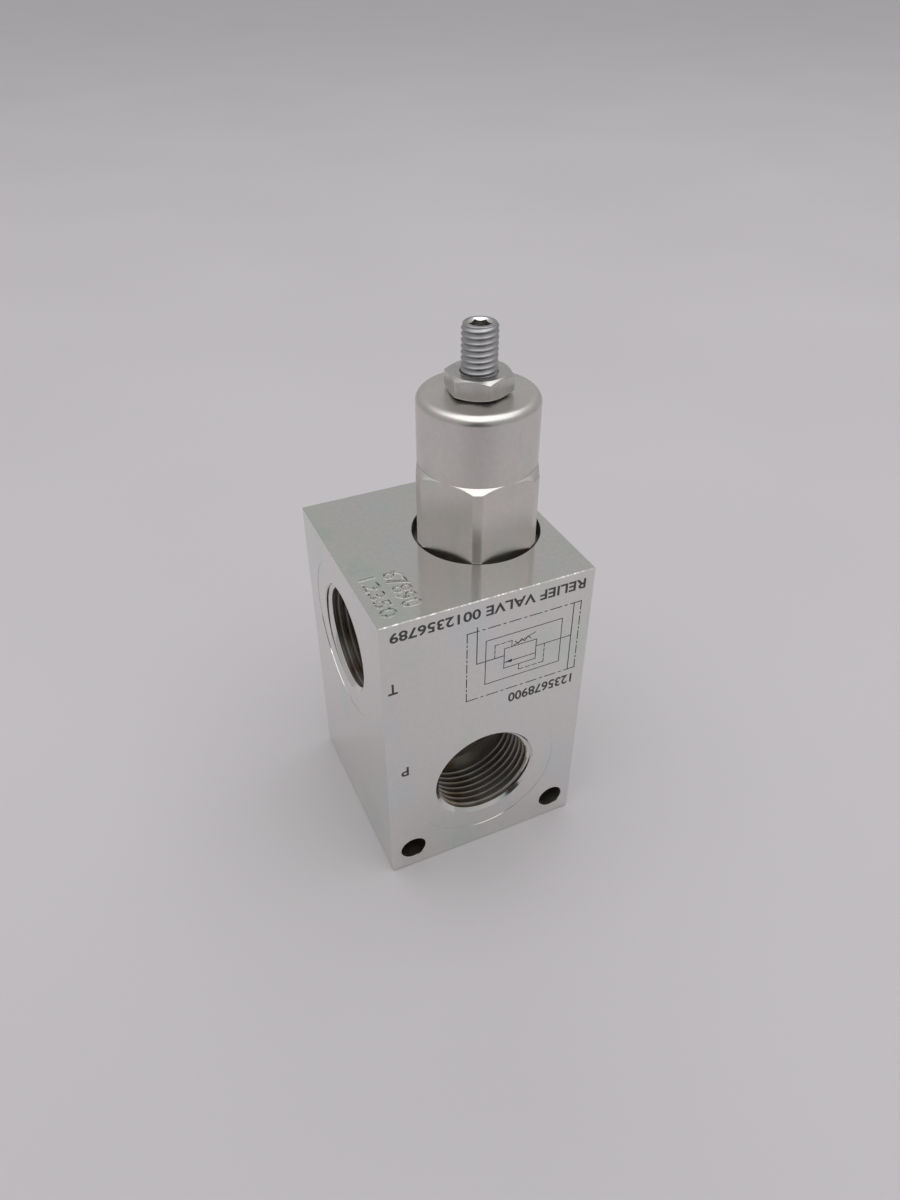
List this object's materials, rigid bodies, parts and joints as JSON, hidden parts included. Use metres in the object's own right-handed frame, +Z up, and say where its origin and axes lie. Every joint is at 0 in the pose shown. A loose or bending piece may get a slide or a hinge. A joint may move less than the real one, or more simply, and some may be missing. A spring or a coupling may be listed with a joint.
{
  "type": "pressure relief valve",
  "caption": "Screw-in pressure relief cartridge valve in a square steel block, with threaded pressure and tank ports and an adjusting screw with lock nut.",
  "frame": {"origin": "centre of the block's base", "axes": "+Z up along the cartridge and its adjusting screw; the pressure port faces -Y and +Y; the tank port faces -X"},
  "size_m": [0.051, 0.051, 0.1286],
  "materials": {
    "block_zinc_plate": "zinc plated, satin, faintly iridescent",
    "cartridge_zinc_plate": "zinc plated over turned steel",
    "fastener_steel": "bright zinc plated",
    "hardened_steel": "hardened and ground",
    "spring_steel": "oil tempered wire with ground ends",
    "seal_rubber": "smooth nitrile rubber",
    "backup_plastic": "PTFE",
    "marking_black": "black laser marking"
  },
  "bodies": {
    "valve_block": {"manifold_block": "block_zinc_plate", "cartridge_body": "cartridge_zinc_plate", "body_o_ring": "seal_rubber", "valve_cage": "hardened_steel", "nose_o_ring": "seal_rubber", "nose_backup_ring_lower": "backup_plastic", "nose_backup_ring_upper": "backup_plastic", "valve_seat": "hardened_steel", "main_spring": "spring_steel"},
    "poppet_stack": {"poppet": "hardened_steel", "lower_spring_guide": "hardened_steel", "spring_shim_lower": "hardened_steel", "spring_shim_upper": "hardened_steel"},
    "follower": {"spring_follower": "hardened_steel", "follower_o_ring": "seal_rubber", "follower_backup_ring": "backup_plastic", "thrust_ball": "hardened_steel"},
    "adjuster": {"adjusting_screw": "fastener_steel"},
    "washer": {"nut_seal_washer": "seal_rubber"},
    "nut": {"lock_nut": "fastener_steel"}
  },
  "joints": [
    {"name": "poppet_lift", "type": "slide", "parent": "valve_block", "child": "poppet_stack", "axis": [0, 0, 1], "range_m": [0, 0.002], "stiffness_N_per_m": 2000, "deforming": ["main_spring"]},
    {"name": "follower_travel", "type": "slide", "parent": "valve_block", "child": "follower", "axis": [0, 0, -1], "range_m": [0, 0.00625], "deforming": ["main_spring"]},
    {"name": "screw_turn", "type": "hinge", "parent": "follower", "child": "adjuster", "pos_m": [0.0087, 0, 0.1187], "axis": [0, 0, -1], "range_deg": [0, 1800]},
    {"name": "washer_lift", "type": "slide", "parent": "valve_block", "child": "washer", "axis": [0, 0, 1], "range_m": [0, 0.0025]},
    {"name": "nut_turn", "type": "hinge", "parent": "washer", "child": "nut", "pos_m": [0.0087, 0, 0.1167], "axis": [0, 0, 1], "range_deg": [0, 720]}
  ],
  "couplings": [
    {"joint": "screw_turn", "follows": "follower_travel", "rad_per_m": 5026.5},
    {"joint": "nut_turn", "follows": "washer_lift", "rad_per_m": 5026.5}
  ]
}
